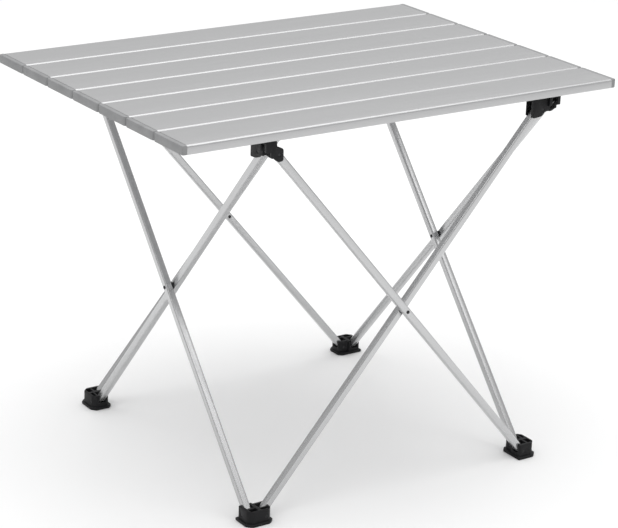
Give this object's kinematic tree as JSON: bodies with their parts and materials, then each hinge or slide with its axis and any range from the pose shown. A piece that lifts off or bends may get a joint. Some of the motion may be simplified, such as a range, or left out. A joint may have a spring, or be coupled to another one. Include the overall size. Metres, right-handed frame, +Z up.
{
  "type": "folding table",
  "caption": "Low folding camp table: roll-up aluminium slat top with plastic end caps on a frame of four scissor crosses with plastic hubs and feet.",
  "frame": {"origin": "on the floor under the middle of the whole table", "axes": "+X along the slats, +Y from the front edge to the back edge, +Z up"},
  "size_m": [0.56, 0.406, 0.442],
  "materials": {
    "slat_aluminium": "satin anodised",
    "tube_aluminium": "bright anodised",
    "grey_plastic": "matte",
    "black_plastic": "fine texture",
    "black_steel": "blackened",
    "cord": "braided elastic"
  },
  "bodies": {
    "foot_front_left": {"foot_front_left": "black_plastic", "foot_pin_outer_front_left": "black_steel", "foot_pin_inner_front_left": "black_steel"},
    "hub_front_left": {"hub_front_left": "black_plastic", "hub_pin_outer_front_left": "black_steel", "hub_pin_inner_front_left": "black_steel"},
    "foot_front_right": {"foot_front_right": "black_plastic", "foot_pin_outer_front_right": "black_steel", "foot_pin_inner_front_right": "black_steel"},
    "hub_front_right": {"hub_front_right": "black_plastic", "hub_pin_outer_front_right": "black_steel", "hub_pin_inner_front_right": "black_steel"},
    "foot_back_right": {"foot_back_right": "black_plastic", "foot_pin_outer_back_right": "black_steel", "foot_pin_inner_back_right": "black_steel"},
    "hub_back_right": {"hub_back_right": "black_plastic", "hub_pin_outer_back_right": "black_steel", "hub_pin_inner_back_right": "black_steel"},
    "foot_back_left": {"foot_back_left": "black_plastic", "foot_pin_outer_back_left": "black_steel", "foot_pin_inner_back_left": "black_steel"},
    "hub_back_left": {"hub_back_left": "black_plastic", "hub_pin_outer_back_left": "black_steel", "hub_pin_inner_back_left": "black_steel"},
    "tube_inner_front": {"tube_inner_front": "tube_aluminium", "cross_rivet_front": "black_steel"},
    "tube_outer_front": {"tube_outer_front": "tube_aluminium"},
    "tube_inner_right": {"tube_inner_right": "tube_aluminium"},
    "tube_outer_right": {"tube_outer_right": "tube_aluminium", "cross_rivet_right": "black_steel"},
    "tube_inner_back": {"tube_inner_back": "tube_aluminium", "cross_rivet_back": "black_steel"},
    "tube_outer_back": {"tube_outer_back": "tube_aluminium"},
    "tube_inner_left": {"tube_inner_left": "tube_aluminium"},
    "tube_outer_left": {"tube_outer_left": "tube_aluminium", "cross_rivet_left": "black_steel"},
    "slat_1": {"slat_1": "slat_aluminium", "end_cap_left_1": "grey_plastic", "end_cap_right_1": "grey_plastic", "elastic_cord_left": "cord", "elastic_cord_right": "cord"},
    "slat_2": {"slat_2": "slat_aluminium", "end_cap_left_2": "grey_plastic", "end_cap_right_2": "grey_plastic"},
    "slat_3": {"slat_3": "slat_aluminium", "end_cap_left_3": "grey_plastic", "end_cap_right_3": "grey_plastic"},
    "slat_4": {"slat_4": "slat_aluminium", "end_cap_left_4": "grey_plastic", "end_cap_right_4": "grey_plastic"},
    "slat_5": {"slat_5": "slat_aluminium", "end_cap_left_5": "grey_plastic", "end_cap_right_5": "grey_plastic"},
    "slat_6": {"slat_6": "slat_aluminium", "end_cap_left_6": "grey_plastic", "end_cap_right_6": "grey_plastic"},
    "slat_7": {"slat_7": "slat_aluminium", "end_cap_left_7": "grey_plastic", "end_cap_right_7": "grey_plastic"}
  },
  "joints": [
    {"name": "fold", "type": "hinge", "parent": "foot_front_left", "child": "tube_inner_front", "pos_m": [-0.165, -0.18263, 0.0088], "axis": [0, -1, 0], "range_deg": [0, 38]},
    {"name": "cross_front", "type": "hinge", "parent": "tube_inner_front", "child": "tube_outer_front", "pos_m": [0.01, -0.18752, 0.21275], "axis": [0, 1, 0], "range_deg": [0, 76]},
    {"name": "hub_front_right_pivot", "type": "hinge", "parent": "tube_inner_front", "child": "hub_front_right", "pos_m": [0.185, -0.18263, 0.4167], "axis": [0, 1, 0], "range_deg": [0, 38]},
    {"name": "hub_front_left_pivot", "type": "hinge", "parent": "tube_outer_front", "child": "hub_front_left", "pos_m": [-0.165, -0.19243, 0.4167], "axis": [0, -1, 0], "range_deg": [0, 38]},
    {"name": "foot_front_right_pivot", "type": "hinge", "parent": "tube_outer_front", "child": "foot_front_right", "pos_m": [0.185, -0.19243, 0.0088], "axis": [0, -1, 0], "range_deg": [0, 38]},
    {"name": "tube_outer_left_pivot", "type": "hinge", "parent": "foot_front_left", "child": "tube_outer_left", "pos_m": [-0.1789, -0.17852, 0.0088], "axis": [1, 0, 0], "range_deg": [0, 38]},
    {"name": "cross_left", "type": "hinge", "parent": "tube_outer_left", "child": "tube_inner_left", "pos_m": [-0.174, -0.00352, 0.21275], "axis": [-1, 0, 0], "range_deg": [0, 76]},
    {"name": "hub_back_left_pivot", "type": "hinge", "parent": "tube_outer_left", "child": "hub_back_left", "pos_m": [-0.1789, 0.17147, 0.4167], "axis": [-1, 0, 0], "range_deg": [0, 38]},
    {"name": "foot_back_left_pivot", "type": "hinge", "parent": "tube_inner_left", "child": "foot_back_left", "pos_m": [-0.1691, 0.17147, 0.0088], "axis": [1, 0, 0], "range_deg": [0, 38]},
    {"name": "tube_outer_right_pivot", "type": "hinge", "parent": "hub_front_right", "child": "tube_outer_right", "pos_m": [0.1989, -0.17852, 0.4167], "axis": [-1, 0, 0], "range_deg": [0, 38]},
    {"name": "cross_right", "type": "hinge", "parent": "tube_outer_right", "child": "tube_inner_right", "pos_m": [0.194, -0.00352, 0.21275], "axis": [1, 0, 0], "range_deg": [0, 76]},
    {"name": "foot_back_right_pivot", "type": "hinge", "parent": "tube_outer_right", "child": "foot_back_right", "pos_m": [0.1989, 0.17147, 0.0088], "axis": [1, 0, 0], "range_deg": [0, 38]},
    {"name": "hub_back_right_pivot", "type": "hinge", "parent": "tube_inner_right", "child": "hub_back_right", "pos_m": [0.1891, 0.17147, 0.4167], "axis": [-1, 0, 0], "range_deg": [0, 38]},
    {"name": "tube_inner_back_pivot", "type": "hinge", "parent": "hub_back_left", "child": "tube_inner_back", "pos_m": [-0.165, 0.17558, 0.4167], "axis": [0, 1, 0], "range_deg": [0, 38]},
    {"name": "cross_back", "type": "hinge", "parent": "tube_inner_back", "child": "tube_outer_back", "pos_m": [0.01, 0.18047, 0.21275], "axis": [0, -1, 0], "range_deg": [0, 76]},
    {"name": "top_lift", "type": "slide", "parent": "hub_front_left", "child": "slat_1", "axis": [0, 0, 1], "range_m": [0, 0.15]},
    {"name": "roll", "type": "hinge", "parent": "slat_1", "child": "slat_2", "pos_m": [0, -0.14278, 0.442], "axis": [1, 0, 0], "range_deg": [0, 50], "deforming": ["elastic_cord_left", "elastic_cord_right"]},
    {"name": "roll_3", "type": "hinge", "parent": "slat_2", "child": "slat_3", "pos_m": [0, -0.08507, 0.442], "axis": [1, 0, 0], "range_deg": [0, 50]},
    {"name": "roll_4", "type": "hinge", "parent": "slat_3", "child": "slat_4", "pos_m": [0, -0.02738, 0.442], "axis": [1, 0, 0], "range_deg": [0, 50]},
    {"name": "roll_5", "type": "hinge", "parent": "slat_4", "child": "slat_5", "pos_m": [0, 0.03033, 0.442], "axis": [1, 0, 0], "range_deg": [0, 50]},
    {"name": "roll_6", "type": "hinge", "parent": "slat_5", "child": "slat_6", "pos_m": [0, 0.08803, 0.442], "axis": [1, 0, 0], "range_deg": [0, 50]},
    {"name": "roll_7", "type": "hinge", "parent": "slat_6", "child": "slat_7", "pos_m": [0, 0.14572, 0.442], "axis": [1, 0, 0], "range_deg": [0, 50]}
  ],
  "couplings": [
    {"joint": "cross_front", "follows": "fold", "ratio": 2},
    {"joint": "hub_front_right_pivot", "follows": "fold", "ratio": 1},
    {"joint": "hub_front_left_pivot", "follows": "fold", "ratio": 1},
    {"joint": "foot_front_right_pivot", "follows": "fold", "ratio": 1},
    {"joint": "tube_outer_left_pivot", "follows": "fold", "ratio": 1},
    {"joint": "cross_left", "follows": "fold", "ratio": 2},
    {"joint": "hub_back_left_pivot", "follows": "fold", "ratio": 1},
    {"joint": "foot_back_left_pivot", "follows": "fold", "ratio": 1},
    {"joint": "tube_outer_right_pivot", "follows": "fold", "ratio": 1},
    {"joint": "cross_right", "follows": "fold", "ratio": 2},
    {"joint": "foot_back_right_pivot", "follows": "fold", "ratio": 1},
    {"joint": "hub_back_right_pivot", "follows": "fold", "ratio": 1},
    {"joint": "tube_inner_back_pivot", "follows": "fold", "ratio": 1},
    {"joint": "cross_back", "follows": "fold", "ratio": 2},
    {"joint": "roll_3", "follows": "roll", "ratio": 1},
    {"joint": "roll_4", "follows": "roll", "ratio": 1},
    {"joint": "roll_5", "follows": "roll", "ratio": 1},
    {"joint": "roll_6", "follows": "roll", "ratio": 1},
    {"joint": "roll_7", "follows": "roll", "ratio": 1}
  ]
}
